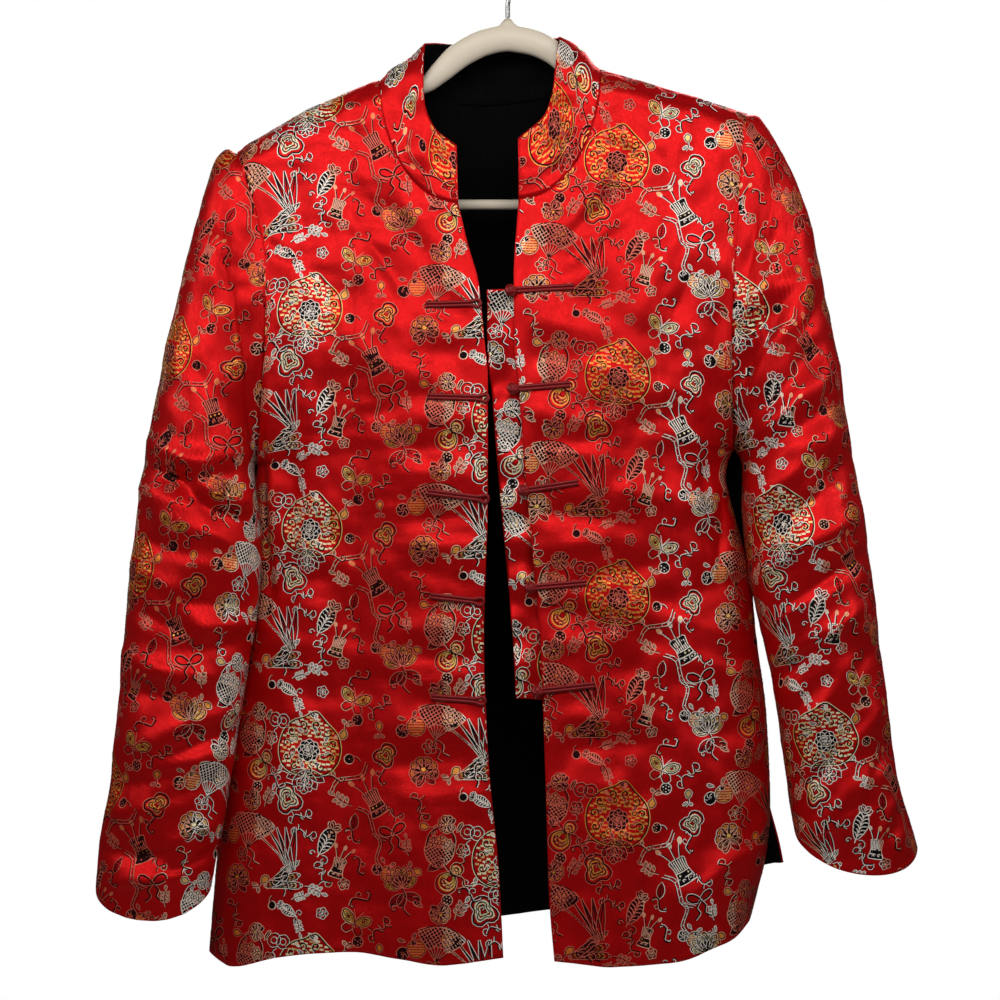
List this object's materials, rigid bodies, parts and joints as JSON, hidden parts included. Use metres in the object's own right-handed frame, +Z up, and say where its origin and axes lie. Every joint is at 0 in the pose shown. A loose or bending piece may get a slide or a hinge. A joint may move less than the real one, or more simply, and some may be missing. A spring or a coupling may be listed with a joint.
{
  "type": "stand-collar jacket on a plastic clothes hanger",
  "caption": "Red brocade reversible jacket with a stand collar, frog closures and side vents, hanging open on a cream plastic hanger with a wire hook.",
  "frame": {"origin": "the inside top of the hook's eye, where a rail carries it", "axes": "+Z up, +X towards the wearer's left, the jacket's front faces -Y"},
  "size_m": [0.632, 0.1305, 0.7952],
  "materials": {
    "red_brocade": "satin brocade",
    "black_reverse": "matt",
    "red_cord": "satin bias strip",
    "cream_plastic": "satin",
    "steel_wire": "polished"
  },
  "bodies": {
    "root": {"front_right": "red_brocade", "front_left": "red_brocade", "back": "red_brocade", "back_lining": "black_reverse", "sleeve_right": "red_brocade", "sleeve_left": "red_brocade", "collar": "red_brocade", "collar_lining": "black_reverse", "placket": "red_brocade", "loop_1": "red_cord", "loop_2": "red_cord", "loop_3": "red_cord", "loop_4": "red_cord", "loop_5": "red_cord", "knot_1": "red_cord", "knot_2": "red_cord", "knot_3": "red_cord", "knot_4": "red_cord", "knot_5": "red_cord", "hanger": "cream_plastic", "hook": "steel_wire"}
  },
  "joints": []
}
